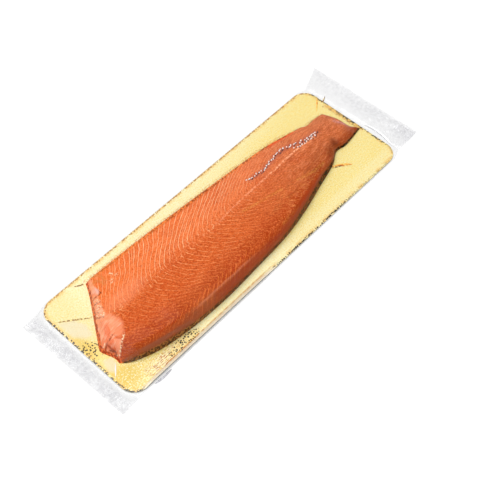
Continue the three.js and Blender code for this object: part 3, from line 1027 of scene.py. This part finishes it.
def make_board():
    """The board with its rim rounded by wear, a dark rim line of painted shadow, its turned-up edge and
    the places where film lies on it.
    """
    x, y = board_plan()
    raised = lip(x, y) + BOARD_WAVE * ripples(x, y, 60, 21)
    edge = past_board(x, y)
    top = np.dstack([x, y, BOARD_TOP - EDGE_WEAR * smooth(edge, -0.8, 0) + raised])
    bottom = np.dstack([x, y, BOARD_BASE + raised + BOARD_CLEAR])
    lip_there = smooth(lip(x, y), 0.05, 0.9)
    fold = window(-y, 83.4, 84.6, 84.9, 86.4) * window(x, -215, -190, -30, 10)
    # More painted light on the strip beside the salmon's near side, where its shadow falls.
    painted_light = smooth(-y, 70, 77) * window(x, -150, -125, 0, 60)
    tail_strip = smooth(x, 250, 256) * window(y, -28, -18, 40, 52)
    # Painted light on the strip beside the salmon's near side, and painted reflection towards the far
    # side and head.
    near_strip_light = (0.9 + 0.5 * smooth(x, -150, -120) - 0.5 * smooth(-x, 205, 235)
                  - 0.9 * smooth(x, -40, 50))
    far_strip_reflection = smooth(y - 0.2 * x, 20, 90) * (1 + 0.5 * smooth(-x, 190, 220))
    # The dark rim line is painted shadow at the board's edge; it fades on the lip and along the near side
    # towards the tail.
    rim_shade = (1 - 0.8 * lip_there) * (1 - 0.6 * smooth(-y, 80, 88) * smooth(x, 120, 170))
    on_belly_line = smooth(-np.abs(beside(BELLY_EDGE, x, y) - 2.6), -3.6, -2)
    attributes = {
        # The lip's cream is a painted reflection of the turned-up edge.
        "edge": edge, "lip": lip_there * 0.8,
        "rim": rim_shade * (1 - 0.7 * near_spot(x, y, (254, -82), (26, 26))),
        "fold": fold * (0.6 + 0.4 * ripples(x, y, 9, 22)),
        "pale": np.maximum(far_strip_reflection, near_strip_light * smooth(-y, 66, 76)),
        "dull": 0.42 * smooth(-x, 200, 235) * smooth(y, -20, 10),
        "glare": 0.6 * sum(within(patch, x, y, 2.5) for patch in GLARE_PATCHES),
        "deep": (0.7 * near_spot(x, y, (-254, 8), (16, 30))
                 + 0.75 * near_spot(x, y, (-246, -62), (28, 30))),
        "specks": (near_spot(x, y, (-250, -4), (14, 20)) + near_spot(x, y, (-164, -80), (34, 10))
                   + 0.4 * tail_strip),
        "by_belly": 0.55 * on_belly_line + 0.7 * tail_strip,
        "grainy": 0.5 * smooth(-y, 30, 66) * fade(x, -160, -125) - 0.25 * painted_light,
        "far_rim": smooth(y, 70, 88),
        "dashes": smooth(-y, 66, 74) * window(x, -232, -215, -185, -150),
        "painted_light": painted_light,
    }
    board = make_shell("gold_laminate_board", top, bottom, attributes)
    board.data.materials.append(gold_finish())
    board.data.materials.append(card_finish())
    kinds = np.ones(len(board.data.polygons), np.int32)
    kinds[:(x.shape[0] - 1) * (x.shape[1] - 1)] = 0
    board.data.polygons.foreach_set("material_index", kinds)
    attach(board, "root")
    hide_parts("gold_board")


def bridge(grid, low, high):
    """Fills a grid between two of its rows in even steps."""
    steps = np.linspace(0, 1, high - low + 1)[:, None, None]
    grid[low:high + 1] = grid[low] * (1 - steps) + grid[high] * steps


def film_plan(u, plan):
    """Carries the grid over the salmon on to the pouch's outline, all round."""
    length = POUCH_TAIL[0][0] - POUCH_HEAD[0][0]
    head_span = (CUT_EDGE[0][0] - POUCH_HEAD[0][0]) / length
    tail_span = (POUCH_TAIL[0][0] - TAIL_EDGE[0][0]) / length
    along = np.concatenate([
        np.linspace(0, head_span, HEAD_CELLS, endpoint=False),
        head_span + (1 - head_span - tail_span) * u,
        np.linspace(1 - tail_span, 1, TAIL_CELLS + 1)[1:],
    ])
    across = np.linspace(0, 1, OVER_CELLS + 2 * BESIDE_CELLS + 1)
    grid = np.empty((len(along), len(across), 2))
    last, side = HEAD_CELLS + SIDE_CELLS, BESIDE_CELLS + OVER_CELLS
    grid[HEAD_CELLS:last + 1, BESIDE_CELLS:side + 1] = plan
    grid[:, 0], grid[:, -1] = by_length(POUCH_NEAR)(along), by_length(POUCH_FAR)(along)
    grid[0], grid[-1] = by_length(POUCH_HEAD)(across), by_length(POUCH_TAIL)(across)
    by_salmon = grid[HEAD_CELLS:last + 1].swapaxes(0, 1)
    bridge(by_salmon, 0, BESIDE_CELLS)
    bridge(by_salmon, side, len(across) - 1)
    inner = grid[:, 1:-1]
    bridge(inner, 0, HEAD_CELLS)
    bridge(inner, last, len(along) - 1)
    return grid


def flap_rise(x, y):
    """How the sealed flaps wave and crumple above the table."""
    out = smooth(past_board(x, y), 1, 12) * smooth(np.abs(x), 255, 270)
    wave = 0.9 + 0.9 * ripples(x, y, 60, 31)
    crumple = np.abs(ripples(x, y, 26, 32)) * 1.1 + np.abs(ripples(x, y, 11, 33)) * 0.35
    return out * np.clip(wave + crumple, 0, None)


def web_attributes(x, y, haze, free):
    """Where a web is milky, ribbed by its seal, slack, and free to mirror the light."""
    out = past_board(x, y)
    end = smooth(np.abs(x), 262, 268)
    head, tail = POUCH_ENDS
    from_end = np.minimum(np.abs(x - head), np.abs(x - tail)) + 1.2 * ripples(x, y, 9, 51)
    patches = 0.5 + 0.5 * ripples(x, y, 40, 52)
    seal = smooth(-from_end, -38, -10) * smooth(from_end, 0.5, 3.5) * smooth(out, 2, 10)
    seal *= 0.4 + 0.6 * np.clip(patches, 0, 1)
    weaker = 0.35 + 0.4 * smooth(y, -20, 45) - 0.7 * smooth(-y, 40, 85)
    seal *= 1.35 - smooth(x, -10, 10) * weaker
    seal *= 0.3 + 0.7 * smooth(-beside(POUCH_FAR, x, y), 0, 9)
    gathered = smooth(out, 1, 6) * smooth(-y, 52, 76) * smooth(x, 250, 262)
    gathered *= np.clip(0.6 + 0.5 * patches, 0, 1)
    slack = 0.03 + 0.5 * smooth(out, 0, 8) * end
    milky = haze + HAZE_OF_END * end + HAZE_OF_SEAL * seal + HAZE_OF_GATHERS * gathered
    return {"haze": milky, "seal": 0.3 * seal, "slack": np.clip(slack + haze, 0, 1), "free": free}


def make_web(name, finish_name, middle, haze, free):
    """One web about its middle surface, and the grid of its upper side."""
    half = normals(middle) * FILM / 2
    attributes = web_attributes(middle[..., 0], middle[..., 1], haze, free)
    film = make_shell(name, middle + half, middle - half, attributes)
    film.data.materials.append(film_finish(finish_name))
    return film, middle + half


def make_top_film():
    """The web drawn down over salmon and board; gives a search tree of its upper side."""
    u, v = eased(SIDE_CELLS + 1), eased(OVER_CELLS + 1)
    plan, height, _, from_cut, cut_share = draped(FILM_OFF_FOOT, FILM_ON_SALMON, u, v)
    grid = film_plan(u, plan)
    x, y = grid[..., 0], grid[..., 1]
    over_board = BOARD_TOP + FILM_ON_BOARD + lip(x, y)
    on_flap = WEB_HIGH + flap_rise(x, y)
    drop = smooth(past_board(x, y), -0.4, 2.4)
    z = over_board * (1 - drop) + on_flap * drop

    centre = (slice(HEAD_CELLS, HEAD_CELLS + len(u)), slice(BESIDE_CELLS, BESIDE_CELLS + len(v)))
    on_cut = fade(cut_share, 0.8, 1.15)
    wrinkle = np.abs(ripples(x[centre], y[centre] * 2.2, 22, 41))
    z[centre] += height + (0.35 + 1.3 * wrinkle) * on_cut * smooth(from_cut, 0, 6)
    haze, free = np.zeros_like(z), np.ones_like(z)
    # The loose web over the cut end is made a little milky, partly as painted glare.
    haze[centre] = 0.02 * on_cut * smooth(from_cut, -2, 8) * (1 - 0.5 * smooth(v, 0.6, 1.0))
    free[centre] = 0.15 * on_cut
    film, upper = make_web("film_top_web", "clear_film", np.dstack([x, y, z]), haze, free)
    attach(film, "root")
    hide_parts("film_top")
    return search_tree(upper)


def make_bottom_film():
    """The flat web under the board."""
    along = np.linspace(0, 1, WEB_ALONG)
    over = np.linspace(0, 1, WEB_ACROSS)[None, :, None]
    near, far = by_length(POUCH_NEAR)(along), by_length(POUCH_FAR)(along)
    grid = near[:, None] * (1 - over) + far[:, None] * over
    x, y = grid[..., 0], grid[..., 1]
    middle = np.dstack([x, y, WEB_LOW + flap_rise(x, y)])
    film, _ = make_web("film_bottom_web", "clear_film_under", middle, np.zeros_like(x), np.ones_like(x))
    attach(film, "root")
    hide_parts("film_bottom")


def make_pleats(film_tree):
    """Low ridges of folded film that stand on the top web: each has a lit and a shaded side."""
    points, faces, kinds = [], [], []
    for line, width, rise, tones in PLEATS:
        lit = 2 * list(PLEAT_TONES).index(tones)
        at = spline(line)
        steps = int(at.length / PLEAT_STEP) + 6
        shares = np.linspace(0, 1, steps)
        path = at(shares)
        ahead = np.gradient(path, axis=0)
        ahead /= np.linalg.norm(ahead, axis=1)[:, None]
        aside = np.stack([-ahead[:, 1], ahead[:, 0]], 1)
        taper = np.sin(np.pi * np.clip(shares, 0.02, 0.98)) ** 0.5
        add_ridge(film_tree, points, faces, path, aside * width / 2 * taper[:, None], rise * taper,
                  PLEAT_ROOT, WEB_HIGH)
        kinds += [lit, lit + 1, lit + 1] * (steps - 1) + [lit, lit + 1]
    pleats = make_mesh("film_pleats", np.array(points), faces)
    pleats.data.polygons.foreach_set("use_smooth", np.zeros(len(faces), bool))
    for name, (lit_tone, shaded_tone, between) in PLEAT_TONES.items():
        for side, tone in (("", lit_tone), ("_shaded", shaded_tone)):
            pleats.data.materials.append(pleat_finish("pleat_" + name + side, tone, between))
    pleats.data.polygons.foreach_set("material_index", np.array(kinds, np.int32))
    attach(pleats, "root")


# ---- the set ----


def make_camera():
    """The view of the pack from above, over its cut end and near long side."""
    data = bpy.data.cameras.new("view")
    data.lens, data.sensor_width = CAMERA_LENS, CAMERA_SENSOR
    flat = math.cos(CAMERA_ELEVATION)
    back = Vector((math.sin(CAMERA_AZIMUTH) * flat, -math.cos(CAMERA_AZIMUTH) * flat,
                   math.sin(CAMERA_ELEVATION)))
    camera = add_object("view", data)
    camera.location = CAMERA_TARGET + back * CAMERA_DISTANCE
    camera.rotation_euler = (-back).to_track_quat("-Z", "Y").to_euler()
    bpy.context.scene.camera = camera


def make_table():
    """The white table."""
    mesh = bpy.data.meshes.new("table")
    signs = ((-1, -1), (1, -1), (1, 1), (-1, 1))
    mesh.from_pydata([(TABLE_HALF * x, TABLE_HALF * y, 0) for x, y in signs], [], [(0, 1, 2, 3)])
    mesh.materials.append(table_finish())
    table = add_object("table", mesh)


def make_light():
    """An even white surround, and one broad soft light from above."""
    world = bpy.data.worlds.new("studio")
    world.use_nodes = True
    background = world.node_tree.nodes["Background"]
    background.inputs["Color"].default_value = (1, 1, 1, 1)
    background.inputs["Strength"].default_value = WORLD_LIGHT
    bpy.context.scene.world = world
    data = bpy.data.lights.new("key", "SUN")
    data.energy, data.angle = KEY_LIGHT, KEY_SPREAD
    key = add_object("key", data)
    key.rotation_euler = KEY_FROM.to_track_quat("Z", "Y").to_euler()
    bpy.context.scene.view_settings.view_transform = "Standard"


make_camera()
make_light()
make_table()
make_pin_bones(make_salmon())
make_board()
make_bottom_film()
make_pleats(make_top_film())
